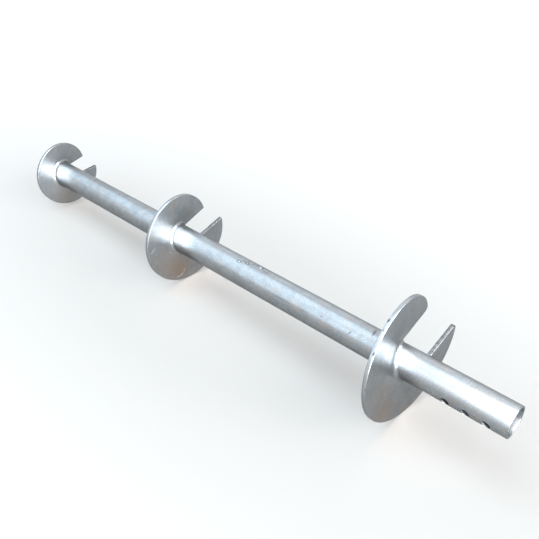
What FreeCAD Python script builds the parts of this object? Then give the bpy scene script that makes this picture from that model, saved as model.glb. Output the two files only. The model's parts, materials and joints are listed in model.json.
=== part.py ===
import FreeCAD, Part
import math
import os
import Sketcher
from FreeCAD import Placement, Rotation, Vector

# Helical pile: a round steel tube with three helical bearing plates welded round it, in millimetres.
# It lies as it comes to rest, on the rims of its large and middle plates, with +Z up. The origin is
# the centre of the tube's bore at the square-cut head end, and the head points towards +X.
# Each sub-part is drawn in the shaft's own axes, Z from the head end towards the tip, and its
# Placement lays it down.

SIZES = {
    # tube
    "tube_diameter": 76.1,
    "tube_wall": 5.0,
    "shaft_length": 1750.0,
    "pilot_angle": 45.0,
    "pilot_turn": 90.0,
    # bolt holes for the extension, counted from the head end
    "bolt_hole_diameter": 21.0,
    "bolt_hole_count": 3,
    "bolt_hole_pitch": 47.0,
    "bolt_edge_distance": 46.0,
    "bolt_hole_turn": 222.0,
    # helical plates
    "plate_thickness": 10.0,
    "plate_pitch": 75.0,
    "plate_fit_gap": 0.25,
    "plate_spacing_ratio": 3.0,
    "tip_distance": 172.0,
    "large_diameter": 300.0,
    "large_turn": 46.5,
    "large_cut": 2.0,
    "large_corner_radius": 12.0,
    "middle_diameter": 250.0,
    "middle_turn": 47.5,
    "middle_cut": 2.0,
    "small_diameter": 200.0,
    "small_turn": 58.5,
    "small_cut": 7.0,
    # fillet welds
    "weld_leg": 8.0,
    # side of the shaft that lies downwards
    "down_turn": 152.0,
}

# the distance of each plate's head-side end from the head end: the small plate has its place from the
# tip, and every plate above stands three diameters of the plate below it away
PLATES = {
    "large": "Sizes.shaft_length - Sizes.tip_distance - Sizes.plate_spacing_ratio"
    " * (Sizes.small_diameter + Sizes.middle_diameter)",
    "middle": "Sizes.shaft_length - Sizes.tip_distance - Sizes.plate_spacing_ratio * Sizes.small_diameter",
    "small": "Sizes.shaft_length - Sizes.tip_distance",
}

# how far a cutting sketch reaches past the tube
ALLOWANCE = 20.0

# how deep the end of a weld is drawn into the tube, before the tube's outline is cut from it
WELD_ROOT = "Sizes.weld_leg / 2"

doc = FreeCAD.newDocument("helical_pile")


def add_sheet():
    sheet = doc.addObject("Spreadsheet::Sheet", "Sizes")
    for row, (name, value) in enumerate(SIZES.items(), start=1):
        sheet.set(f"A{row}", name)
        sheet.set(f"B{row}", str(value))
        sheet.setAlias(f"B{row}", name)
    doc.recompute()
    return sheet


def add_body(name):
    body = doc.addObject("PartDesign::Body", name)
    body.Label = name
    return body


def add_sketch(body, name, plane, turn=None):
    """A sketch on one of the body's own planes, turned round the shaft where turn gives an angle."""
    sketch = body.newObject("Sketcher::SketchObject", name)
    origin_plane = next(p for p in body.Origin.OriginFeatures if p.Role == plane)
    sketch.AttachmentSupport = [(origin_plane, "")]
    sketch.MapMode = "FlatFace"
    if turn:
        sketch.AttachmentOffset = Placement(Vector(), Rotation(Vector(0, 1, 0), 1.0))
        sketch.setExpression("AttachmentOffset.Rotation.Angle", turn)
    return sketch


def constrain(sketch, name, expression, kind, *where):
    """A dimension of the sketch, bound to the sheet."""
    value = float(sketch.evalExpression(expression))
    index = sketch.addConstraint(Sketcher.Constraint(kind, *where, value))
    sketch.renameConstraint(index, name)
    sketch.setExpression(f"Constraints.{name}", expression)


def add_polygon(sketch, corners):
    """Straight edges through the corners, given as pairs of expressions for the two coordinates."""
    points = [[float(sketch.evalExpression(c)) for c in corner] for corner in corners]
    ends = points[1:] + points[:1]
    for (x1, y1), (x2, y2) in zip(points, ends):
        sketch.addGeometry(Part.LineSegment(Vector(x1, y1, 0), Vector(x2, y2, 0)))
    for edge in range(len(points)):
        following = (edge + 1) % len(points)
        sketch.addConstraint(Sketcher.Constraint("Coincident", edge, 2, following, 1))
    for edge, (across, along) in enumerate(corners):
        constrain(sketch, f"across_{edge}", across, "DistanceX", -1, 1, edge, 1)
        constrain(sketch, f"along_{edge}", along, "DistanceY", -1, 1, edge, 1)


def add_shaft_tube():
    body = add_body("shaft_tube")

    ring = add_sketch(body, "tube_ring", "XY_Plane")
    for edge, bound in enumerate(("Sizes.tube_diameter", "Sizes.tube_diameter - 2 * Sizes.tube_wall")):
        radius = float(ring.evalExpression(bound)) / 2
        ring.addGeometry(Part.Circle(Vector(), Vector(0, 0, 1), radius))
        ring.addConstraint(Sketcher.Constraint("Coincident", edge, 3, -1, 1))
        constrain(ring, f"diameter_{edge}", bound, "Diameter", edge)
    tube = body.newObject("PartDesign::Pad", "tube_pad")
    tube.Profile = ring
    tube.setExpression("Length", "Sizes.shaft_length")

    # slanted pilot point: everything past a slanted line is cut off
    slant = add_sketch(body, "pilot_slant", "XZ_Plane", "Sizes.pilot_turn")
    reach = f"(Sizes.tube_diameter / 2 + {ALLOWANCE})"
    foot = "Sizes.shaft_length - Sizes.tube_diameter / 2 / tan(Sizes.pilot_angle)"
    rise = f"{reach} / tan(Sizes.pilot_angle)"
    beyond = f"Sizes.shaft_length + {reach} / tan(Sizes.pilot_angle) + {ALLOWANCE}"
    add_polygon(
        slant,
        [
            (reach, f"{foot} + {rise}"),
            (reach, beyond),
            (f"-{reach}", beyond),
            (f"-{reach}", f"{foot} - {rise}"),
        ],
    )
    pilot = body.newObject("PartDesign::Pocket", "pilot_cut")
    pilot.Profile = slant
    pilot.Type = "ThroughAll"
    pilot.SideType = "Symmetric"

    hole = add_sketch(body, "bolt_hole", "YZ_Plane", "Sizes.bolt_hole_turn")
    hole.addGeometry(Part.Circle(Vector(0, 1, 0), Vector(0, 0, 1), 1))
    constrain(hole, "diameter", "Sizes.bolt_hole_diameter", "Diameter", 0)
    constrain(hole, "edge_distance", "Sizes.bolt_edge_distance", "DistanceY", -1, 1, 0, 3)
    hole.addConstraint(Sketcher.Constraint("PointOnObject", 0, 3, -2))
    first = body.newObject("PartDesign::Pocket", "bolt_hole_cut")
    first.Profile = hole
    first.Type = "ThroughAll"
    first.SideType = "Symmetric"

    row = body.newObject("PartDesign::LinearPattern", "bolt_holes")
    row.Originals = [first]
    row.Direction = (hole, ["V_Axis"])
    row.setExpression("Length", "Sizes.bolt_hole_pitch * (Sizes.bolt_hole_count - 1)")
    row.setExpression("Occurrences", "Sizes.bolt_hole_count")
    body.Tip = row
    return body


def add_turn(body, profile, plate):
    """The profile carried round the shaft for the plate's one turn, less the part cut away."""
    turn = body.newObject("PartDesign::AdditiveHelix", f"{body.Name}_turn")
    turn.Profile = profile
    turn.ReferenceAxis = (profile, ["V_Axis"])
    turn.Mode = "pitch-height-angle"
    turn.setExpression("Pitch", "Sizes.plate_pitch")
    turn.setExpression("Height", f"Sizes.plate_pitch * (1 - Sizes.{plate}_cut / 360)")
    body.Tip = turn
    return turn


def outer_corners(turn, radius):
    """Names of the turn's two short edges along the shaft at its rim."""
    names = []
    for index, edge in enumerate(turn.Shape.Edges, start=1):
        first, last = (v.Point for v in edge.Vertexes)
        along = last - first
        at_rim = all(abs(math.hypot(p.x, p.y) - radius) < 0.01 for p in (first, last))
        straight = edge.Length < 1.001 * along.Length
        if at_rim and straight and math.hypot(along.x, along.y) < 0.01:
            names.append(f"Edge{index}")
    return names


def add_helix_plate(plate):
    body = add_body(f"{plate}_helix_plate")
    section = add_sketch(body, f"{plate}_plate_section", "XZ_Plane")
    bore = "Sizes.tube_diameter / 2 + Sizes.plate_fit_gap"
    rim = f"Sizes.{plate}_diameter / 2"
    half = "Sizes.plate_thickness / 2"
    add_polygon(section, [(bore, f"-{half}"), (rim, f"-{half}"), (rim, half), (bore, half)])
    turn = add_turn(body, section, plate)
    if f"{plate}_corner_radius" in SIZES:
        doc.recompute()
        rounding = body.newObject("PartDesign::Fillet", f"{plate}_plate_corners")
        rounding.Base = (turn, outer_corners(turn, SIZES[f"{plate}_diameter"] / 2))
        rounding.setExpression("Radius", f"Sizes.{plate}_corner_radius")
        body.Tip = rounding
    return body


def add_cone_corner(body, name, height, direction):
    """A quarter of a cone that carries the weld round one corner of the plate's end."""
    corner = body.newObject("PartDesign::AdditiveCone", name)
    radial_plane = next(p for p in body.Origin.OriginFeatures if p.Role == "YZ_Plane")
    corner.AttachmentSupport = [(radial_plane, "")]
    corner.MapMode = "FlatFace"
    corner.AttachmentOffset = Placement(Vector(), Rotation(Vector(0, 0, 1), direction))
    corner.setExpression("AttachmentOffset.Base.y", height)
    corner.setExpression("AttachmentOffset.Base.z", f"Sizes.tube_diameter / 2 - {WELD_ROOT}")
    corner.setExpression("Radius1", f"Sizes.weld_leg + {WELD_ROOT}")
    corner.Radius2 = 0
    corner.setExpression("Height", f"Sizes.weld_leg + {WELD_ROOT}")
    corner.Angle = 90
    return corner


def add_weld(plate, side):
    """A fillet weld between the tube and the head face of a plate, returned round the plate's end.

    The weld on the tip face is the same one turned end for end, so its Placement alone differs.
    """
    name = f"{plate}_plate_{side}_weld"
    body = add_body(name)
    tube = "Sizes.tube_diameter / 2"
    toe = f"{tube} + Sizes.weld_leg"
    root = f"{tube} - {WELD_ROOT}"

    # the return: straight across the cut end of the plate, then round a corner to each face
    across = add_sketch(body, f"{name}_return_section", "XY_Plane")
    add_polygon(across, [(root, "0"), (root, f"-(Sizes.weld_leg + {WELD_ROOT})"), (toe, "0")])
    straight = body.newObject("PartDesign::Pad", f"{name}_return")
    straight.Profile = across
    straight.SideType = "Symmetric"
    straight.setExpression("Length", "Sizes.plate_thickness")
    add_cone_corner(body, f"{name}_tip_corner", "Sizes.plate_thickness / 2", 90)
    add_cone_corner(body, f"{name}_head_corner", "-Sizes.plate_thickness / 2", 180)
    round_tube = add_sketch(body, f"{name}_tube_outline", "XY_Plane")
    round_tube.addGeometry(Part.Circle(Vector(), Vector(0, 0, 1), SIZES["tube_diameter"] / 2))
    round_tube.addConstraint(Sketcher.Constraint("Coincident", 0, 3, -1, 1))
    constrain(round_tube, "diameter", "Sizes.tube_diameter", "Diameter", 0)
    clear = body.newObject("PartDesign::Pocket", f"{name}_tube_clear")
    clear.Profile = round_tube
    clear.Type = "ThroughAll"
    clear.SideType = "Symmetric"

    section = add_sketch(body, f"{name}_section", "XZ_Plane")
    face = "-Sizes.plate_thickness / 2"
    add_polygon(section, [(tube, f"{face} - Sizes.weld_leg"), (tube, face), (toe, face)])
    add_turn(body, section, plate)
    return body


def lying(sheet):
    """Where the pile lies: it touches the floor with the rims of its large and middle plates."""
    stations = {p: float(sheet.evalExpression(e)) for p, e in PLATES.items()}
    touch = {
        p: stations[p] + sheet.plate_pitch * ((sheet.down_turn - getattr(sheet, f"{p}_turn")) % 360) / 360
        for p in ("large", "middle")
    }
    drop = (sheet.large_diameter - sheet.middle_diameter) / 2
    tilt = math.asin(drop / math.hypot(drop, touch["middle"] - touch["large"]))
    to_tip = Vector(-math.cos(tilt), 0, -math.sin(tilt))
    down = Vector(math.sin(tilt), 0, -math.cos(tilt))
    laid = Rotation(down, Vector(0, -1, 0), to_tip, "ZXY")
    return Placement(Vector(), laid * Rotation(Vector(0, 0, 1), -sheet.down_turn)), stations


def on_shaft(sheet, name, plate, station):
    """Where a plate or a weld stands in the shaft's axes."""
    start = Placement(Vector(0, 0, station), Rotation(Vector(0, 0, 1), getattr(sheet, f"{plate}_turn")))
    if not name.endswith("tip_weld"):
        return start
    cut = getattr(sheet, f"{plate}_cut")
    rise = Vector(0, 0, sheet.plate_pitch * (1 - cut / 360))
    far_end = Placement(rise, Rotation(Vector(0, 0, 1), -cut))
    end_for_end = Placement(Vector(), Rotation(Vector(1, 0, 0), 180))
    return start * far_end * end_for_end


def check(doc):
    """Every object has been worked out, and every sub-part has a sound shape."""
    for item in doc.Objects:
        if "Invalid" in item.State or "Error" in item.State:
            raise RuntimeError(f"{item.Label} failed: {item.State}")
    for body in bodies:
        if body.Shape.isNull() or not body.Shape.isValid() or len(body.Shape.Solids) != 1:
            raise RuntimeError(f"{body.Label} isn't one sound solid")


sheet = add_sheet()
bodies = [add_shaft_tube()]
plate_of = {}
for plate in PLATES:
    for body in (add_helix_plate(plate), add_weld(plate, "head"), add_weld(plate, "tip")):
        plate_of[body.Name] = plate
        bodies.append(body)
doc.recompute()

laid, stations = lying(sheet)
for body in bodies:
    plate = plate_of.get(body.Name)
    body.Placement = laid * on_shaft(sheet, body.Name, plate, stations[plate]) if plate else laid
doc.recompute()
check(doc)

os.makedirs("parts", exist_ok=True)
for body in bodies:
    body.Shape.exportStep(f"parts/{body.Label}.step")
    box = body.Shape.optimalBoundingBox()
    print(f"{body.Label}: {body.Shape.Volume:.1f} mm3, lowest point {box.ZMin:.3f}")
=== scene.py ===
import json
import math

import bmesh
import bpy
from bpy.props import FloatProperty, FloatVectorProperty, PointerProperty, StringProperty
from mathutils import Matrix, Vector, noise


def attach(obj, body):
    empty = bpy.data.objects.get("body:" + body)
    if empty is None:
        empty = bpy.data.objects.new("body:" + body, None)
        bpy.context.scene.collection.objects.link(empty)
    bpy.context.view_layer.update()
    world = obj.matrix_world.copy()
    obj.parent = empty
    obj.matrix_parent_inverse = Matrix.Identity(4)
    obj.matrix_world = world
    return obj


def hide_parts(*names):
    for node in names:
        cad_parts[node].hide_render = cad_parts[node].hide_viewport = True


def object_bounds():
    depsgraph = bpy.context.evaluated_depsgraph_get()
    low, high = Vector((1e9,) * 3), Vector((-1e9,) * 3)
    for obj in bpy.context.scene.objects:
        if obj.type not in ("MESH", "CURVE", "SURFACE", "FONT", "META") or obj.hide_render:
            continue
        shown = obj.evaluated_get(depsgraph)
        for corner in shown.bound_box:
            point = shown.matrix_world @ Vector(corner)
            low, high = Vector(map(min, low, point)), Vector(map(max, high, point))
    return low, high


bl_info = {
    "name": "Helical pile",
    "version": (1, 0, 0),
    "blender": (4, 5, 0),
    "location": "View3D > Sidebar > Helical pile",
    "description": "Builds a galvanised helical pile, its welds and its studio round the packed frame",
    "category": "Object",
}

# Every length is in metres, in the frame's own axes: +X towards the head, +Z up. A place on the pile is
# given by its station, which is its distance from the head end, its radius from the shaft's axis, and
# its angle round the shaft. The angle is 0 straight down and grows towards -Y.

MM = 0.001

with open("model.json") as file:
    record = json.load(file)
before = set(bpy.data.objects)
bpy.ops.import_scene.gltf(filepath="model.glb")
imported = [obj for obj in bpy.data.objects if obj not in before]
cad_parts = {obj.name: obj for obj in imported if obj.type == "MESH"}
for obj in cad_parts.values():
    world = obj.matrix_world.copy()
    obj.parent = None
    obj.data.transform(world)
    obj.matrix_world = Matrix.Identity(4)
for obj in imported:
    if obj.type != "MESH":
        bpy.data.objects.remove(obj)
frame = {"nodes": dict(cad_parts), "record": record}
cad_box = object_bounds()

mounts = {mount["name"]: mount for mount in frame["record"]["mounts"]}
TO_TIP = -Vector(mounts["head_bore"]["axis"])
DOWN = Vector((-TO_TIP.z, 0, TO_TIP.x))
SIDE = Vector((0, -1, 0))
PLATES = ("large", "middle", "small")
FACES = ("head", "tip")


def shaft_place(point):
    """Station, radius and angle of a point."""
    across, aside = point.dot(DOWN), point.dot(SIDE)
    return point.dot(TO_TIP), math.hypot(across, aside), math.atan2(aside, across)


def shaft_point(station, radius, angle):
    return TO_TIP * station + (DOWN * math.cos(angle) + SIDE * math.sin(angle)) * radius


def node_places(node):
    return [shaft_place(vertex.co) for vertex in frame["nodes"][node].data.vertices]


def millimetres(name, description, value):
    return FloatProperty(
        name=name, description=description, default=value * MM, min=0, unit="LENGTH", precision=5
    )


def hex_colour(name, description, value):
    return StringProperty(name=name, description=description, default=value, maxlen=7)


class PileShaftSizes(bpy.types.PropertyGroup):
    outside_radius: FloatProperty(
        name="Outside radius",
        description="Radius of the tube outside",
        default=mounts["head_outside"]["dims"]["r_mm"] * MM,
        unit="LENGTH",
    )
    bore_radius: FloatProperty(
        name="Bore radius",
        description="Radius of the tube inside",
        default=mounts["head_bore"]["dims"]["r_mm"] * MM,
        unit="LENGTH",
    )
    edge_round: millimetres("Edge rounding", "Radius left on the sawn and drilled edges by the zinc", 0.5)


class PilePlateSizes(bpy.types.PropertyGroup):
    thickness: millimetres("Thickness", "Thickness of the plates, measured along the shaft", 10)
    edge_round: millimetres("Edge rounding", "Radius left on the cut edges by the zinc", 0.9)
    large_corner: millimetres("Large plate's corners", "Radius of the large plate's two outer corners", 12)
    sharp_corner: millimetres("Other corners", "Radius of the other plates' outer corners", 1.5)


class PileWeldSizes(bpy.types.PropertyGroup):
    leg: millimetres("Leg", "Width of the weld on the tube and on the plate", 8)
    hollow: FloatProperty(
        name="Hollow",
        description="How hollow the weld is: 0 is flat, 1 runs smoothly into the tube and the plate",
        default=0.8,
        min=0,
        max=1,
        subtype="FACTOR",
    )
    ripple: millimetres("Ripple", "Spacing of the ripples along the weld", 4.5)
    ripple_height: millimetres("Ripple height", "Height of the ripples", 0.1)
    lump: millimetres("Lumps", "How much the weld swells and shrinks along its way", 0.8)
    sunk: millimetres("Sunk toes", "How far the weld's toes lie under the tube and the plate", 0.1)


class PileColours(bpy.types.PropertyGroup):
    zinc: hex_colour("Zinc", "Even tone of the zinc coat", "#8C9093")
    dull_zinc: hex_colour("Dull zinc", "Tone of the zinc where it has dulled", "#81868A")
    warm_zinc: hex_colour("Warm zinc", "Tone where the zinc is stained", "#918071")
    bright_zinc: hex_colour("Bright zinc", "Tone of rubbed edges and fresh scratches", "#D6D8DA")
    # The cut end's two tones are darker partly as the flame-cut steel's own tone and partly as painted shade;
    # the first also paints the tube's two dark shade lines among the marks.
    cut_end_painted_shade: hex_colour("Cut end", "Darker tone of the plates' rough cut ends", "#585A5C")
    rough_end_painted_shade: hex_colour("Cut end's hollows", "Darkest tone of the plates' rough cut ends", "#424447")
    pit: hex_colour("Pit", "Tone of small pits and bare spots", "#3C4046")
    grazing: hex_colour("Grazing zinc", "Tint of the zinc's shine at a grazing angle", "#C4C4C4")
    floor: hex_colour("Floor", "Tone of the studio floor", "#D4CAC1")


class PileStudio(bpy.types.PropertyGroup):
    camera_place: FloatVectorProperty(
        name="Camera place",
        description="Where the camera stands",
        default=(0.214977, -0.987721, 1.063585),
        subtype="TRANSLATION",
        unit="LENGTH",
    )
    look_down: FloatProperty(
        name="Look down",
        description="How far the camera looks down from the horizon",
        default=math.radians(37.26895),
        unit="ROTATION",
    )
    heading: FloatProperty(
        name="Heading",
        description="Turn of the camera from looking along +Y, towards -X",
        default=math.radians(43.17972),
        unit="ROTATION",
    )
    focal_length: FloatProperty(
        name="Focal length", description="Focal length of the lens", default=44.1642, unit="CAMERA"
    )
    sensor_width: FloatProperty(
        name="Sensor width", description="Width of the camera's sensor", default=36, unit="CAMERA"
    )
    shift_across: FloatProperty(
        name="Shift across", description="Sideways shift of the camera's picture", default=0.02012
    )
    shift_up: FloatProperty(
        name="Shift up", description="Upward shift of the camera's picture", default=-0.01112
    )
    floor_size: FloatProperty(
        name="Floor size", description="Length of the floor's sides", default=24, unit="LENGTH"
    )
    # The floor's own white is weaker near the pile and grows over the distances below: a painted shade round
    # the pile, besides its real soft shadow.
    near_glow_painted_shade: FloatProperty(
        name="Floor's own white near the pile",
        description="White that the camera, metal and glass see on the floor besides its lit tone",
        default=0.28,
    )
    far_glow: FloatProperty(
        name="Floor's own white far from the pile",
        description="The same, out where the floor turns into the white backdrop",
        default=0.95,
    )
    painted_shade_fade_start: FloatProperty(
        name="Backdrop's start",
        description="Distance from the pile's middle at which the floor starts to turn into the backdrop",
        default=0.3,
        unit="LENGTH",
    )
    painted_shade_fade_end: FloatProperty(
        name="Backdrop's end", description="Distance at which it is all backdrop", default=2.0, unit="LENGTH"
    )
    painted_shade_stretch: FloatProperty(
        name="Backdrop's stretch",
        description="How many times farther out the backdrop starts past the pile's ends than beside it",
        default=2.5,
    )
    air_light: FloatProperty(
        name="Air's light", description="Strength of the world's light on things", default=0.15
    )


def steps(first, last, count):
    return [first + (last - first) * index / count for index in range(count + 1)]


def rounded_edge(radius, first_turn=30):
    """Steps round a rounded edge: how far each lies in from the end, and how far in from the side."""
    turns = [math.radians(turn) for turn in range(first_turn, 91, 30)]
    return [(radius * (1 - math.sin(turn)), radius * (1 - math.cos(turn))) for turn in turns]


# Edges sharper than this stay sharp to the eye.
SHARP_ANGLE = math.radians(50)
# Points closer than these are one point, and shorter edges are taken out.
SAME_POINT = 0.001 * MM
NO_EDGE = 0.0001 * MM


def add_strip(mesh, this_row, next_row, skip=()):
    count = len(this_row)
    for index in range(count):
        if index in skip:
            continue
        after = (index + 1) % count
        mesh.faces.new((this_row[index], this_row[after], next_row[after], next_row[index]))


def finish_piece(name, mesh, node, finish):
    """Turns a mesh into a smooth-shaded object that rides on the pile and replaces the node."""
    bmesh.ops.remove_doubles(mesh, verts=mesh.verts, dist=SAME_POINT)
    bmesh.ops.dissolve_degenerate(mesh, edges=mesh.edges, dist=NO_EDGE)
    bmesh.ops.recalc_face_normals(mesh, faces=mesh.faces)
    for face in mesh.faces:
        face.smooth = True
    data = bpy.data.meshes.new(name)
    mesh.to_mesh(data)
    mesh.free()
    data.set_sharp_from_angle(angle=SHARP_ANGLE)
    piece = bpy.data.objects.new(name, data)
    bpy.context.scene.collection.objects.link(piece)
    data.materials.append(finish)
    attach(piece, "root")
    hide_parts(node)
    return piece


def add_swept(name, rows, node, finish):
    """A piece from rows of points, each row closed on itself, with a face over its first and last row."""
    mesh = bmesh.new()
    made = [[mesh.verts.new(point) for point in row] for row in rows]
    for this_row, next_row in zip(made, made[1:]):
        add_strip(mesh, this_row, next_row)
    mesh.faces.new(reversed(made[0]))
    mesh.faces.new(made[-1])
    return finish_piece(name, mesh, node, finish)


# Cells across the square of wall round each bolt hole, and between the two lines of squares.
SQUARE_CELLS = 20
BETWEEN_CELLS = 28
# Shares of the way from a hole's edge to its square: close rows near the edge keep it crisp.
HOLE_ROWS = (1, 0.8, 0.6, 0.42, 0.28, 0.17, 0.09, 0.04, 0)
# Distances of the tube's rows from the rounding of its ends, close at first.
CLOSE_ROWS = (0, 0.4 * MM, 1.2 * MM)
OPEN_ROW = 4 * MM
FIRST_PLAIN_ROW = 10 * MM
PLAIN_ROWS = 60
# The rows lean over to the slanted cut in this many steps, over this share of the way.
SLANTED_ROWS = 8
SLANTED_SHARE = 0.95


def bolt_holes():
    """Station, angle and radius of each bolt hole, on both sides of the tube."""
    holes = []
    for name in ("first_bolt_hole", "second_bolt_hole", "third_bolt_hole"):
        mount = mounts[name]
        station, _, _ = shaft_place(Vector(mount["pos_m"]))
        _, _, angle = shaft_place(Vector(mount["axis"]))
        holes.append((station, angle % math.pi, mount["dims"]["r_mm"] * MM))
    return holes


def column_angles(hole_angle, half_square, radius):
    """Angles of the tube's columns: evenly wide cells across the holes' squares, even angles between."""
    half_angle = math.asin(half_square / radius)
    angles = []
    for middle in (hole_angle, hole_angle + math.pi):
        for across in steps(-half_square, half_square, SQUARE_CELLS)[:-1]:
            angles.append(middle + math.asin(across / radius))
        angles += steps(middle + half_angle, middle + math.pi - half_angle, BETWEEN_CELLS)[:-1]
    return angles


def hole_wall(mesh, station, angle, radius, half_square, tube):
    """A square of the tube's wall with a bolt hole through it, its edges a little rounded."""
    outward = shaft_point(0, 1, angle)
    across = shaft_point(0, 1, angle + math.pi / 2)
    side = steps(-half_square, half_square, SQUARE_CELLS)[:-1]
    square = [(u, -half_square) for u in side] + [(half_square, w) for w in side]
    square += [(-u, half_square) for u in side] + [(-half_square, -w) for w in side]
    # the square starts at its corner at -135 degrees
    turn = [math.radians(-135) + math.tau * index / len(square) for index in range(len(square))]

    def ring(hole_radius, share, surface, depth=0):
        """A ring a share of the way from the hole to the square, at a depth under a tube surface."""
        row = []
        for (u, w), phi in zip(square, turn):
            u = u * share + hole_radius * math.cos(phi) * (1 - share)
            w = w * share + hole_radius * math.sin(phi) * (1 - share)
            height = math.sqrt(surface**2 - u**2) - depth
            row.append(mesh.verts.new(outward * height + across * u + TO_TIP * (station + w)))
        return row

    outer, inner = tube.outside_radius, tube.bore_radius
    edge = rounded_edge(tube.edge_round)
    rows = [ring(radius + tube.edge_round, share, outer) for share in HOLE_ROWS]
    rows += [ring(radius + back, 0, outer, depth) for back, depth in edge]
    rows += [ring(radius + back, 0, inner, -depth) for back, depth in reversed(edge)]
    rows += [ring(radius + tube.edge_round, share, inner) for share in reversed(HOLE_ROWS)]
    for this_row, next_row in zip(rows, rows[1:]):
        add_strip(mesh, this_row, next_row)


def tube_rows(tube, holes, half_square):
    """Rows of the outer wall, tip end, inner wall and head end, and the first and last row at the holes."""
    outer, inner, rounding = tube.outside_radius, tube.bore_radius, tube.edge_round
    outer_angles = column_angles(holes[0][1], half_square, outer)
    inner_angles = column_angles(holes[0][1], half_square, inner)
    tip_station, _, tip_angle = max(node_places("shaft_tube"))
    # the cut slants at 45 degrees over one diameter, and the rows lean over to it in one more
    plain_end = tip_station - 2 * (2 * outer)

    def cut_station(radius, angle):
        return tip_station - outer + radius * math.cos(angle - tip_angle)

    def slanted(part):
        return lambda radius, angle: plain_end + (cut_station(radius, angle) - plain_end) * part

    def set_back(distance):
        return lambda radius, angle: cut_station(radius, angle) - distance

    def row(share, radius, station):
        """A row at a share of the way through the wall. Its station may depend on the radius and angle."""
        points = []
        for outer_angle, inner_angle in zip(outer_angles, inner_angles):
            angle = outer_angle + (inner_angle - outer_angle) * share
            at = station(radius, angle) if callable(station) else station
            points.append(shaft_point(at, radius, angle))
        return points

    def wall(share, radius):
        """Rows of one wall from the head end's rounding to the tip end's."""
        made = [row(share, radius, rounding + away) for away in (*CLOSE_ROWS, OPEN_ROW)]
        made += [row(share, radius, at) for at in steps(FIRST_PLAIN_ROW, holes[0][0] - half_square, 2)]
        first = len(made) - 1
        for middle, _, _ in holes:
            for at in steps(middle - half_square, middle + half_square, SQUARE_CELLS)[1:]:
                made.append(row(share, radius, at))
        last = len(made) - 1
        last_square_end = holes[-1][0] + half_square
        made += [row(share, radius, at) for at in steps(last_square_end, plain_end, PLAIN_ROWS)[1:]]
        made += [row(share, radius, slanted(part)) for part in steps(0, SLANTED_SHARE, SLANTED_ROWS)[1:]]
        made += [row(share, radius, set_back(rounding + away)) for away in reversed(CLOSE_ROWS)]
        return made, first, last

    outer_wall, first, last = wall(0, outer)
    inner_wall, _, _ = wall(1, inner)
    edge = rounded_edge(rounding)
    middle = (outer + inner) / 2
    tip_end = [row(0, outer - side, set_back(back)) for back, side in edge]
    tip_end.append(row(0.5, middle, set_back(0)))
    tip_end += [row(1, inner + side, set_back(back)) for back, side in reversed(edge)]
    head_end = [row(1, inner + side, back) for back, side in edge]
    head_end.append(row(0.5, middle, 0))
    head_end += [row(0, outer - side, back) for back, side in reversed(edge)]
    return outer_wall, tip_end, inner_wall, head_end, first, last


class PILE_OT_tube(bpy.types.Operator):
    """Build the shaft: a round tube, sawn square at the head and slanted at the tip, with bolt holes"""

    bl_idname = "pile.tube"
    bl_label = "Shaft tube"

    def execute(self, context):
        tube = context.scene.pile_shaft
        holes = bolt_holes()
        half_square = (holes[1][0] - holes[0][0]) / 2
        outer_wall, tip_end, inner_wall, head_end, first, last = tube_rows(tube, holes, half_square)

        # the walls stay open where the holes' squares go
        inner_start = len(outer_wall) + len(tip_end)
        inner_last = inner_start + len(inner_wall) - 1
        open_rows = set(range(first, last))
        open_rows |= {inner_last - index for index in range(first + 1, last + 1)}
        one_side = SQUARE_CELLS + BETWEEN_CELLS
        open_columns = {side * one_side + column for side in (0, 1) for column in range(SQUARE_CELLS)}

        mesh = bmesh.new()
        rows = outer_wall + tip_end + inner_wall[::-1] + head_end
        made = [[mesh.verts.new(point) for point in points] for points in rows]
        for index, this_row in enumerate(made):
            next_row = made[(index + 1) % len(made)]
            add_strip(mesh, this_row, next_row, open_columns if index in open_rows else ())
        loose = [vertex for vertex in mesh.verts if not vertex.link_faces]
        bmesh.ops.delete(mesh, geom=loose, context="VERTS")
        for station, angle, radius in holes:
            for side in (0, math.pi):
                hole_wall(mesh, station, angle + side, radius, half_square, tube)
        finish = bpy.data.materials["hot_dip_galvanised_tube"]
        finish_piece("pile_tube", mesh, "shaft_tube", finish)
        return {"FINISHED"}


# Steps along a plate's cut end, round its outer corner, and how far apart those along its rim are.
CUT_END_STEPS = 16
CORNER_STEPS = 8
RIM_STEP = 3.5 * MM
# Each step of the edge has a spoke to the bore. Those of a cut end fan out over this much of the bore.
SPOKE_FAN = math.radians(10)
# Shares of the way out along a spoke at which the plate has points.
SPOKE_SHARES = (0, 0.05, 0.15, 0.3, 0.5, 0.7, 0.88, 0.98)
# A face belongs to a cut end when its normal lies along the way round the shaft by more than this.
CUT_END_NORMAL = 0.35


def read_plate(plate):
    """A plate's sizes and place, read from its solid in the frame."""
    sizes = bpy.context.scene.pile_plates
    places = node_places(f"{plate}_helix_plate")
    start, end = min(places), max(places)
    cut = (start[2] - end[2]) % math.tau
    rise = end[0] - start[0] - sizes.thickness
    return {
        "rim": max(radius for _, radius, _ in places),
        "bore": min(radius for _, radius, _ in places),
        "station": start[0] + sizes.thickness / 2,
        "start": start[2],
        "sweep": math.tau - cut,
        "rise_per_radian": rise / (math.tau - cut),
        "corner": sizes.large_corner if plate == "large" else sizes.sharp_corner,
    }


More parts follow.
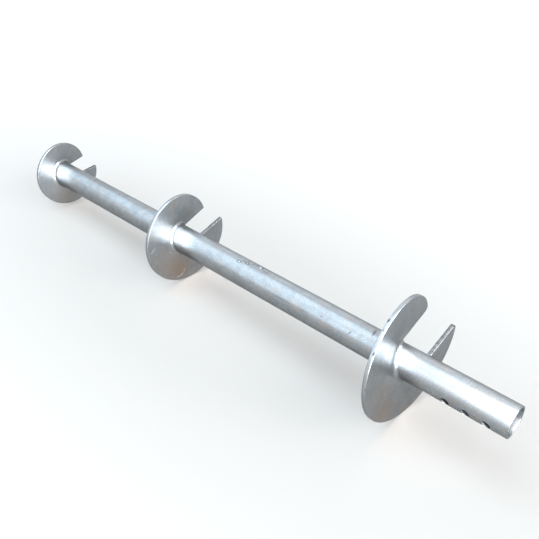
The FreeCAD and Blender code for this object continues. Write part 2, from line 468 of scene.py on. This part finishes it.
def plate_outline(plate):
    """Points round a plate's edge and the way inward at each, on a flat plan, and the base of its spoke.

    The edge runs out along the start, round a corner, along the rim, round the other corner and back in.
    """
    rim, bore, corner, sweep = plate["rim"], plate["bore"], plate["corner"], plate["sweep"]
    # the corner's arc touches both the straight end and the rim
    centre = math.sqrt((rim - corner) ** 2 - corner**2)
    corner_end = math.atan2(corner, centre)
    end = [((radius, 0.0), (0.0, 1.0)) for radius in steps(bore, centre, CUT_END_STEPS)[:-1]]
    for turn in steps(0, math.pi / 2 + corner_end, CORNER_STEPS)[:-1]:
        out = (math.sin(turn), -math.cos(turn))
        place = (centre + corner * out[0], corner + corner * out[1])
        end.append((place, (-out[0], -out[1])))
    spokes = []
    for index, (place, inward) in enumerate(end):
        spokes.append((place, inward, SPOKE_FAN * index / len(end)))
    count = 2 * round(sweep * rim / (2 * RIM_STEP))
    for index, angle in enumerate(steps(corner_end, sweep - corner_end, count)):
        way = (math.cos(angle), math.sin(angle))
        base = SPOKE_FAN + (sweep - 2 * SPOKE_FAN) * index / count
        spokes.append(((rim * way[0], rim * way[1]), (-way[0], -way[1]), base))
    for place, inward, base in reversed(spokes[: len(end)]):
        spokes.append((mirror(sweep, place), mirror(sweep, inward), sweep - base))
    return spokes


def mirror(sweep, vector):
    """A plan vector mirrored about the middle of the plate's turn."""
    angle = sweep - math.atan2(vector[1], vector[0])
    length = math.hypot(*vector)
    return (length * math.cos(angle), length * math.sin(angle))


def helix_point(plate, place, height, near):
    """A plan place carried onto the plate's turn, height above its middle. near settles the turn's count."""
    angle = math.atan2(place[1], place[0])
    angle += math.tau * round((near - angle) / math.tau)
    station = plate["station"] + plate["rise_per_radian"] * angle + height
    return shaft_point(station, math.hypot(*place), plate["start"] + angle)


def mark_cut_ends(piece, cut_end_painted_shade):
    """Gives the rougher, darker finish, partly painted shade, to the faces that look round the shaft: a
    plate's two cut ends.
    """
    piece.data.materials.append(cut_end_painted_shade)
    for face in piece.data.polygons:
        _, _, angle = shaft_place(face.center)
        around = DOWN * -math.sin(angle) + SIDE * math.cos(angle)
        if abs(face.normal.dot(around)) > CUT_END_NORMAL:
            face.material_index = 1


class PILE_OT_plates(bpy.types.Operator):
    """Build the three helical bearing plates, each one turn of thick plate with its edges a little rounded"""

    bl_idname = "pile.plates"
    bl_label = "Helix plates"

    def execute(self, context):
        sizes = context.scene.pile_plates
        half = sizes.thickness / 2
        finish = bpy.data.materials["hot_dip_galvanised_plate"]
        cut_end_painted_shade = bpy.data.materials["galvanised_flame_cut_end_painted_shade"]
        for name in PLATES:
            plate = read_plate(name)
            rows = []
            for place, inward, base in plate_outline(plate):
                foot = (plate["bore"] * math.cos(base), plate["bore"] * math.sin(base))
                inner_edge = [p + i * sizes.edge_round for p, i in zip(place, inward)]
                above = []
                for share in SPOKE_SHARES:
                    above.append(([f + (e - f) * share for f, e in zip(foot, inner_edge)], half))
                for back, drop in rounded_edge(sizes.edge_round, first_turn=0):
                    above.append(([p + i * back for p, i in zip(place, inward)], half - drop))
                below = [(spot, -height) for spot, height in reversed(above)]
                rows.append([helix_point(plate, spot, height, base) for spot, height in above + below])
            node = f"{name}_helix_plate"
            piece = add_swept(f"pile_{name}_plate", rows, node, finish)
            mark_cut_ends(piece, cut_end_painted_shade)
        return {"FINISHED"}


# Steps of a weld along its turn, round each corner of its return, across the plate's end, and across
# the bead from the tube to the plate.
TURN_STEPS = 520
RETURN_STEPS = 10
PLATE_END_STEPS = 16
BEAD_STEPS = 12
# The bead swells and shrinks over a long and a short length, half as much over the short one.
LONG_SWELL = 14 * MM
SHORT_SWELL = 5 * MM
SHORT_SWELL_SHARE = 0.5
# Shares of a swell that widen the bead and that raise it.
SWELL_WIDENS = 0.6
SWELL_RAISES = 0.3
# A ripple's middle lies behind its ends by this share of the spacing, which makes it a crescent.
CRESCENT = 0.45
# Below 1, a ripple is round on top and narrow in its valleys, and fades only close to the toes.
RIPPLE_POWER = 0.7
RIPPLE_FADE = 0.5


def weld_path(plate, face, thickness):
    """Places along a weld's root: angle, station, and the way outward from the plate on the tube.

    A weld runs along one face of the plate and returns round one end: the start for the head face,
    the far end for the tip face. It is worked out for the head face and turned end for end for the tip.
    """
    tube_radius = bpy.context.scene.pile_shaft.outside_radius
    slope = math.atan2(plate["rise_per_radian"], tube_radius)
    path = []
    for angle in steps(plate["sweep"], 0, TURN_STEPS):
        path.append((angle, plate["rise_per_radian"] * angle - thickness / 2, slope - math.pi / 2))
    for way in steps(slope - math.pi / 2, -math.pi, RETURN_STEPS)[1:]:
        path.append((0, -thickness / 2, way))
    for station in steps(-thickness / 2, thickness / 2, PLATE_END_STEPS)[1:]:
        path.append((0, station, -math.pi))
    for way in steps(-math.pi, slope - 3 * math.pi / 2, RETURN_STEPS)[1:]:
        path.append((0, thickness / 2, way))
    if face == "tip":
        rise = plate["rise_per_radian"] * plate["sweep"]
        path = [(plate["sweep"] - a, rise - s, way + math.pi) for a, s, way in path]
    return path


def bead_point(plate, angle, station, way, radius, out):
    """A point at a radius, moved out from the weld's root along the tube's surface."""
    tube_radius = bpy.context.scene.pile_shaft.outside_radius
    turned = plate["start"] + angle + math.cos(way) * out / tube_radius
    return shaft_point(plate["station"] + station + math.sin(way) * out, radius, turned)


def bead_profile(weld, length, swell):
    """The bead's surface from its toe on the tube to that on the plate: its way out and its height."""
    leg = weld.leg + swell * SWELL_WIDENS
    profile = []
    for share in steps(0, 1, BEAD_STEPS):
        arc = math.pi / 2 * share
        out = leg * (1 - share) * (1 - weld.hollow) + leg * (1 - math.sin(arc)) * weld.hollow
        height = leg * share * (1 - weld.hollow) + leg * (1 - math.cos(arc)) * weld.hollow
        bow = math.sin(math.pi * share)
        wave = abs(math.sin(math.pi * (length / weld.ripple + CRESCENT * bow))) ** RIPPLE_POWER
        lift = swell * SWELL_RAISES * bow + weld.ripple_height * (wave - 0.5) * bow**RIPPLE_FADE
        lift -= weld.sunk * (1 - bow)
        # the bead faces half outward and half along the tube
        lift /= math.sqrt(2)
        profile.append((out + lift, height + lift))
    return profile


def weld_rows(plate, face, thickness, weld, radius, seed):
    """Rows of points round the bead, one for each place along the weld."""
    rows = []
    length = 0.0
    before = None
    for angle, station, way in weld_path(plate, face, thickness):
        middle = bead_point(plate, angle, station, way, radius, weld.leg / 2)
        if before:
            length += (middle - before).length
        before = middle
        swell = noise.noise(seed + Vector((length / LONG_SWELL, 0, 0))) * weld.lump
        swell += noise.noise(seed + Vector((length / SHORT_SWELL, 9, 0))) * weld.lump * SHORT_SWELL_SHARE
        row = [
            bead_point(plate, angle, station, way, radius + height, out)
            for out, height in bead_profile(weld, length, swell)
        ]
        row.append(bead_point(plate, angle, station, way, radius - weld.sunk, -weld.sunk))
        rows.append(row)
    return rows


class PILE_OT_welds(bpy.types.Operator):
    """Build the fillet welds that hold each plate to the tube, rippled and returned round the plate's ends"""

    bl_idname = "pile.welds"
    bl_label = "Welds"

    def execute(self, context):
        weld = context.scene.pile_welds
        thickness = context.scene.pile_plates.thickness
        radius = context.scene.pile_shaft.outside_radius
        finish = bpy.data.materials["galvanised_weld_bead"]
        for number, name in enumerate(PLATES):
            plate = read_plate(name)
            for face in FACES:
                # each weld takes its swells from a different part of the noise
                seed = Vector((number * 10.0, 5.0 * FACES.index(face), 0.0))
                rows = weld_rows(plate, face, thickness, weld, radius, seed)
                node = f"{name}_plate_{face}_weld"
                add_swept(f"pile_{name}_{face}_weld", rows, node, finish)
        return {"FINISHED"}


def linear(colour):
    """A hex sRGB colour as linear RGBA."""
    values = [int(colour[place : place + 2], 16) / 255 for place in (1, 3, 5)]
    return [v / 12.92 if v <= 0.04045 else ((v + 0.055) / 1.055) ** 2.4 for v in values] + [1.0]


def add_node(tree, kind, inputs=None, **settings):
    """Adds a node with its settings. An input is given a value, or the output that it is linked to."""
    node = tree.nodes.new(kind)
    for name, value in settings.items():
        setattr(node, name, value)
    for socket, value in (inputs or {}).items():
        if isinstance(value, bpy.types.NodeSocket):
            tree.links.new(value, node.inputs[socket])
        else:
            node.inputs[socket].default_value = value
    return node


def new_material(name):
    material = bpy.data.materials.new(name)
    material.use_nodes = True
    material.node_tree.nodes.clear()
    return material


# Marks left by handling, and two dark lines of painted shade on the tube: two places that the mark runs
# between, each as station in mm, radius in mm and angle in degrees, then the mark's width in mm, its tone and
# how strongly it covers the zinc.
MARKS = (
    ((779, 38, 168), (769, 38, 168), 13, "pit", 0.6),
    ((775, 38, 168), (773, 38, 168), 6, "bright_zinc", 0.55),
    ((756, 38, 179), (746, 38, 179), 13, "pit", 0.65),
    ((752, 38, 179), (750, 38, 179), 6, "bright_zinc", 0.5),
    ((768, 38, 183), (763, 38, 186), 5, "pit", 0.7),
    ((757, 38, 194), (750, 38, 192), 5, "pit", 0.7),
    ((740, 38, 187), (733, 38, 190), 5, "pit", 0.65),
    ((727, 38, 196), (719, 38, 193), 5, "pit", 0.7),
    ((708, 38, 200), (704, 38, 192), 8, "pit", 0.65),
    ((714, 38, 196), (709, 38, 190), 7, "bright_zinc", 0.7),
    ((702, 38, 184), (672, 38, 182), 4, "pit", 0.45),
    ((483, 38, 133), (477, 38, 133), 7, "pit", 0.35),
    ((400, 38, 121), (393, 38, 139), 4, "pit", 0.7),
    # painted shade: these two dark lines run along the lower edge of the tube's bright band
    ((650, 38, 119), (560, 38, 116), 3, "cut_end_painted_shade", 0.6),
    ((545, 38, 118), (520, 38, 119), 3, "cut_end_painted_shade", 0.45),
    ((348, 38, 192), (345, 38, 160), 9, "pit", 0.65),
    ((286, 150, 158.5), (286, 150, 161), 7, "pit", 0.95),
    ((275, 150, 129), (275, 150, 131), 7, "pit", 0.95),
    ((283, 150, 150), (283, 150, 150.6), 4.5, "pit", 0.7),
    ((266, 150, 98), (266, 150, 99), 4.5, "pit", 0.7),
    ((256, 150, 62), (256, 150, 64), 5, "pit", 0.6),
    ((1014, 119, 93), (1016, 94, 100), 3.2, "bright_zinc", 0.9),
    ((1013, 104, 84), (1014, 92, 88), 2.6, "bright_zinc", 0.6),
    ((997, 88, 9), (997, 104, 13), 3.0, "bright_zinc", 0.7),
    ((997, 103, 13), (999, 112, 18), 3.8, "bright_zinc", 1.0),
    ((998, 111, 17.5), (999, 119, 25), 3.6, "bright_zinc", 0.9),
    ((1008, 50, 62), (1010, 62, 78), 2.6, "bright_zinc", 0.6),
)
# Broad stains: middle as station, radius and angle, then the stain's reach in mm and its strength.
STAINS = (
    ((255, 125, 45), 55, 0.55),
    ((999, 90, 22), 55, 0.75),
    ((1003, 85, 55), 75, 0.4),
    ((262, 95, 75), 40, 0.3),
    ((1597, 70, 25), 60, 0.35),
)
# Shares of a stain's and a mark's reach over which it fades out.
STAIN_EDGE = 0.9
MARK_EDGE = 0.6
# The zinc's grain. Real zinc is finer, but less than this would not show from a step away.
GRAIN = 2.2 * MM
# Stains and marks have frayed edges: the size of the frays, and how far they reach.
FRAY_SIZE = 5 * MM
FRAY_REACH = 2 * MM
# The coat's relief: soft waves as wide as its clouds, with the grain on them.
WAVE_HEIGHT = 0.4 * MM
WAVE_STRENGTH = 0.08
GRAIN_HEIGHT = 0.08 * MM
GRAIN_STRENGTH = 0.25
# How much smoother and rougher than its middle value the coat gets from cloud to cloud.
SMOOTHER = 0.03
ROUGHER = 0.04
# How strongly bright specks and warm streaks cover the zinc at the most.
SPECKS = 0.4
STREAKS = 0.5


def mark_place(place):
    station, radius, angle = place
    return shaft_point(station * MM, radius * MM, math.radians(angle))


def covered(tree, place, first, last, width, strength, edge):
    """How far a place lies inside a long soft spot between two points. edge is the share that fades."""
    run = last - first
    reach = (run.length / 2 + width / 2, width / 2, width / 2)
    turn = run.to_track_quat("X", "Z").to_euler() if run.length else (0, 0, 0)
    local = add_node(
        tree,
        "ShaderNodeMapping",
        {"Vector": place, "Location": (first + last) / 2, "Rotation": turn, "Scale": reach},
        vector_type="TEXTURE",
    ).outputs[0]
    away = add_node(tree, "ShaderNodeVectorMath", {0: local}, operation="LENGTH").outputs["Value"]
    return add_node(
        tree,
        "ShaderNodeMapRange",
        {"Value": away, "From Min": 1 - edge, "From Max": 1, "To Min": strength, "To Max": 0},
        interpolation_type="SMOOTHSTEP",
    ).outputs[0]


def zinc_finish(name, even, dull, cloud_size, streak_way, streak_size, roughness):
    """Hot-dip zinc: a satin metal whose coat is faintly cloudy, streaked and marked by handling, with two
    lines of painted shade among the marks.

    The sizes are the widths of its clouds and streaks. streak_way is below 1 along the way in which the
    streaks are drawn out.
    """
    colours = bpy.context.scene.pile_colours
    material = new_material(name)
    tree = material.node_tree
    place = add_node(tree, "ShaderNodeTexCoord").outputs["Object"]
    clouds = add_node(
        tree, "ShaderNodeTexNoise", {"Vector": place, "Scale": 1 / cloud_size, "Detail": 7}
    ).outputs["Fac"]
    stretched = add_node(tree, "ShaderNodeMapping", {"Vector": place, "Scale": streak_way}).outputs[0]
    streaks = add_node(
        tree, "ShaderNodeTexNoise", {"Vector": stretched, "Scale": 1 / streak_size, "Detail": 3}
    ).outputs["Fac"]
    grain = add_node(
        tree, "ShaderNodeTexNoise", {"Vector": place, "Scale": 1 / GRAIN, "Detail": 3}
    ).outputs["Fac"]
    frays = add_node(
        tree, "ShaderNodeTexNoise", {"Vector": place, "Scale": 1 / FRAY_SIZE, "Detail": 2}
    ).outputs["Color"]
    off = add_node(tree, "ShaderNodeVectorMath", {0: frays, 1: (0.5, 0.5, 0.5)}, operation="SUBTRACT")
    frayed = add_node(
        tree,
        "ShaderNodeVectorMath",
        {0: off.outputs[0], 1: (FRAY_REACH, FRAY_REACH, FRAY_REACH), 2: place},
        operation="MULTIPLY_ADD",
    ).outputs[0]

    # from here on, each layer covers the ones before it with its colour, as far as its factor says
    dulled = add_node(
        tree,
        "ShaderNodeMapRange",
        {"Value": clouds, "From Min": 0.4, "From Max": 0.62},
        interpolation_type="SMOOTHSTEP",
    ).outputs["Result"]
    specks = add_node(
        tree, "ShaderNodeMapRange", {"Value": grain, "From Min": 0.56, "From Max": 0.72, "To Max": SPECKS}
    ).outputs["Result"]
    drained = add_node(
        tree, "ShaderNodeMapRange", {"Value": streaks, "From Min": 0.5, "From Max": 0.8, "To Max": STREAKS}
    ).outputs["Result"]
    layers = [(dulled, dull), (specks, colours.bright_zinc), (drained, colours.warm_zinc)]
    for middle, reach, strength in STAINS:
        spot = mark_place(middle)
        stain = covered(tree, frayed, spot, spot, 2 * reach * MM, strength, STAIN_EDGE)
        layers.append((stain, colours.warm_zinc))
    # the marks include two lines of painted shade along the lower edge of the tube's bright band
    for first, last, width, colour, strength in MARKS:
        mark = covered(tree, frayed, mark_place(first), mark_place(last), width * MM, strength, MARK_EDGE)
        layers.append((mark, getattr(colours, colour)))
    tone = linear(even)
    for factor, colour in layers:
        mix = {"Factor": factor, 6: tone, 7: linear(colour)}
        tone = add_node(tree, "ShaderNodeMix", mix, data_type="RGBA").outputs[2]

    # the dulled places are a little rougher
    rough = add_node(
        tree,
        "ShaderNodeMapRange",
        {
            "Value": clouds,
            "From Min": 0.3,
            "From Max": 0.7,
            "To Min": roughness - SMOOTHER,
            "To Max": roughness + ROUGHER,
        },
    ).outputs["Result"]
    waves = add_node(
        tree,
        "ShaderNodeBump",
        {"Height": clouds, "Strength": WAVE_STRENGTH, "Distance": WAVE_HEIGHT},
    ).outputs[0]
    relief = add_node(
        tree,
        "ShaderNodeBump",
        {"Height": grain, "Strength": GRAIN_STRENGTH, "Distance": GRAIN_HEIGHT, "Normal": waves},
    ).outputs[0]
    # the dull patina on the zinc keeps it from flashing at a grazing angle
    surface = add_node(
        tree,
        "ShaderNodeBsdfPrincipled",
        {
            "Base Color": tone,
            "Metallic": 1.0,
            "Roughness": rough,
            "Specular Tint": linear(colours.grazing),
            "Normal": relief,
        },
    )
    add_node(tree, "ShaderNodeOutputMaterial", {"Surface": surface.outputs[0]})
    return material


class PILE_OT_finishes(bpy.types.Operator):
    """Make the zinc finishes of the tube, the plates, their cut ends and the welds"""

    bl_idname = "pile.finishes"
    bl_label = "Finishes"

    def execute(self, context):
        colours = context.scene.pile_colours
        zinc, dull = colours.zinc, colours.dull_zinc
        # galvanised tube: satin, with soft clouds and streaks drawn out along the shaft
        zinc_finish("hot_dip_galvanised_tube", zinc, dull, 26 * MM, (0.25, 1, 1), 12 * MM, 0.34)
        # galvanised plate: a little duller, with streaks down the plate from draining
        zinc_finish("hot_dip_galvanised_plate", zinc, dull, 34 * MM, (1, 1, 0.15), 8 * MM, 0.36)
        # galvanised weld: zinc gathers here and runs smooth, so it shines most
        zinc_finish("galvanised_weld_bead", zinc, dull, 9 * MM, (1, 1, 1), 5 * MM, 0.3)
        # flame-cut end of a plate: a little rougher, with tones darker than the faces beside it, partly the
        # cut's own tone and partly painted shade
        dark, darkest = colours.cut_end_painted_shade, colours.rough_end_painted_shade
        zinc_finish("galvanised_flame_cut_end_painted_shade", dark, darkest, 5 * MM, (1, 1, 1), 3 * MM, 0.38)
        return {"FINISHED"}


# Name, place from the pile's middle, length along the pile and width across it, brightness, colour, and
# whether it lights matt surfaces too. The brightness is that of the lamp's face, on the scale on which 1
# is white. A lamp for shiny surfaces alone doesn't burn out the floor.
SOFTBOXES = (
    ("glint_softbox", (1.45, -0.6, 1.5), 1.6, 5.0, 28.0, (0.96, 0.985, 1.0), False),
    ("overhead_softbox", (-3.1, -0.5, 6.2), 9.4, 6.0, 2.35, (0.66, 0.85, 1.0), True),
    ("front_softbox", (-3.2, -5.2, 3.75), 6.5, 4.4, 2.0, (0.66, 0.85, 1.0), True),
    ("back_softbox", (-3.2, 5.2, 3.2), 6.5, 4.8, 1.05, (0.82, 0.9, 1.0), True),
    ("head_softbox", (4.6, 0.3, 3.0), 4.0, 5.0, 2.7, (0.85, 0.93, 1.0), True),
)


def add_softbox(name, place, target, length, width, brightness, colour, lights_matt):
    """A rectangular studio lamp that faces its target, its length along the pile."""
    lamp = bpy.data.lights.new(name, "AREA")
    lamp.shape = "RECTANGLE"
    lamp.size = length
    lamp.size_y = width
    lamp.energy = brightness * math.pi * length * width
    lamp.color = colour
    softbox = bpy.data.objects.new(name, lamp)
    bpy.context.scene.collection.objects.link(softbox)
    away = (Vector(place) - Vector(target)).normalized()
    along = Vector((1, 0, 0)) - away * away.x
    along.normalize()
    turned = Matrix((along, away.cross(along), away)).transposed().to_4x4()
    softbox.matrix_world = Matrix.Translation(place) @ turned
    softbox.visible_diffuse = lights_matt


def shown_strength(tree, lighting, shown):
    """One strength for light that falls on things, another for what the camera, metal and glass show."""
    path = add_node(tree, "ShaderNodeLightPath")
    shows = path.outputs["Is Camera Ray"]
    for ray in ("Is Glossy Ray", "Is Transmission Ray"):
        shows = add_node(
            tree, "ShaderNodeMath", {0: shows, 1: path.outputs[ray]}, operation="MAXIMUM"
        ).outputs[0]
    return add_node(
        tree, "ShaderNodeMapRange", {"Value": shows, "To Min": lighting, "To Max": shown}
    ).outputs[0]


def studio_paper(studio, middle):
    """Matt paper with no shine. Its own white, which the camera, metal and glass see, is weaker near the
    pile, a painted shade round it on top of the pile's real soft shadow, and turns white farther out.
    """
    paper = new_material("matt_studio_paper")
    tree = paper.node_tree
    colour = linear(bpy.context.scene.pile_colours.floor)
    matt = add_node(tree, "ShaderNodeBsdfDiffuse", {"Color": colour})
    place = add_node(tree, "ShaderNodeNewGeometry").outputs["Position"]
    oval = add_node(
        tree,
        "ShaderNodeMapping",
        {"Vector": place, "Location": middle, "Scale": (studio.painted_shade_stretch, 1, 1)},
        vector_type="TEXTURE",
    ).outputs[0]
    away = add_node(tree, "ShaderNodeVectorMath", {0: oval}, operation="LENGTH").outputs["Value"]
    # painted shade: the floor's own white is weaker near the pile than out where it turns white
    glow_with_painted_shade = add_node(
        tree,
        "ShaderNodeMapRange",
        {
            "Value": away,
            "From Min": studio.painted_shade_fade_start,
            "From Max": studio.painted_shade_fade_end,
            "To Min": studio.near_glow_painted_shade,
            "To Max": studio.far_glow,
        },
    ).outputs[0]
    glow = add_node(tree, "ShaderNodeEmission", {"Strength": shown_strength(tree, 0.0, glow_with_painted_shade)})
    surface = add_node(tree, "ShaderNodeAddShader", {0: matt.outputs[0], 1: glow.outputs[0]})
    add_node(tree, "ShaderNodeOutputMaterial", {"Surface": surface.outputs[0]})
    return paper


class PILE_OT_stage(bpy.types.Operator):
    """Lay the floor, set up the softboxes and the world's light, and place the camera"""

    bl_idname = "pile.stage"
    bl_label = "Stage"

    def execute(self, context):
        scene = context.scene
        studio = scene.pile_studio
        middle = (cad_box[0] + cad_box[1]) / 2

        floor_place = (middle.x, middle.y, cad_box[0].z)
        bpy.ops.mesh.primitive_plane_add(size=studio.floor_size, location=floor_place)
        floor = context.object
        floor.name = "studio_floor"
        floor.data.materials.append(studio_paper(studio, middle))

        for name, place, *rest in SOFTBOXES:
            add_softbox(name, middle + Vector(place), middle, *rest)

        world = bpy.data.worlds.new("studio_air")
        scene.world = world
        world.use_nodes = True
        tree = world.node_tree
        tree.nodes.clear()
        strength = shown_strength(tree, studio.air_light, 1.0)
        air = add_node(tree, "ShaderNodeBackground", {"Color": (1, 1, 1, 1), "Strength": strength})
        add_node(tree, "ShaderNodeOutputWorld", {"Surface": air.outputs[0]})

        lens = bpy.data.cameras.new("photo_camera")
        lens.sensor_width = studio.sensor_width
        lens.lens = studio.focal_length
        lens.shift_x = studio.shift_across
        lens.shift_y = studio.shift_up
        camera = bpy.data.objects.new("photo_camera", lens)
        scene.collection.objects.link(camera)
        camera.location = studio.camera_place
        camera.rotation_euler = (math.pi / 2 - studio.look_down, 0, studio.heading)
        scene.camera = camera
        scene.view_settings.view_transform = "Standard"
        return {"FINISHED"}


class PILE_PT_sidebar(bpy.types.Panel):
    """The steps of the build, in order"""

    bl_idname = "PILE_PT_sidebar"
    bl_label = "Helical pile"
    bl_space_type = "VIEW_3D"
    bl_region_type = "UI"
    bl_category = "Helical pile"

    def draw(self, context):
        for step in STEPS:
            self.layout.operator(step.bl_idname)


STEPS = (PILE_OT_finishes, PILE_OT_tube, PILE_OT_plates, PILE_OT_welds, PILE_OT_stage)
GROUPS = {
    "pile_shaft": PileShaftSizes,
    "pile_plates": PilePlateSizes,
    "pile_welds": PileWeldSizes,
    "pile_colours": PileColours,
    "pile_studio": PileStudio,
}


def register():
    for made in (*GROUPS.values(), *STEPS, PILE_PT_sidebar):
        bpy.utils.register_class(made)
    for name, group in GROUPS.items():
        setattr(bpy.types.Scene, name, PointerProperty(type=group))


def unregister():
    for name in GROUPS:
        delattr(bpy.types.Scene, name)
    for made in reversed((*GROUPS.values(), *STEPS, PILE_PT_sidebar)):
        bpy.utils.unregister_class(made)


def main():
    register()
    bpy.ops.pile.finishes()
    bpy.ops.pile.tube()
    bpy.ops.pile.plates()
    bpy.ops.pile.welds()
    bpy.ops.pile.stage()


if __name__ == "__main__":
    main()
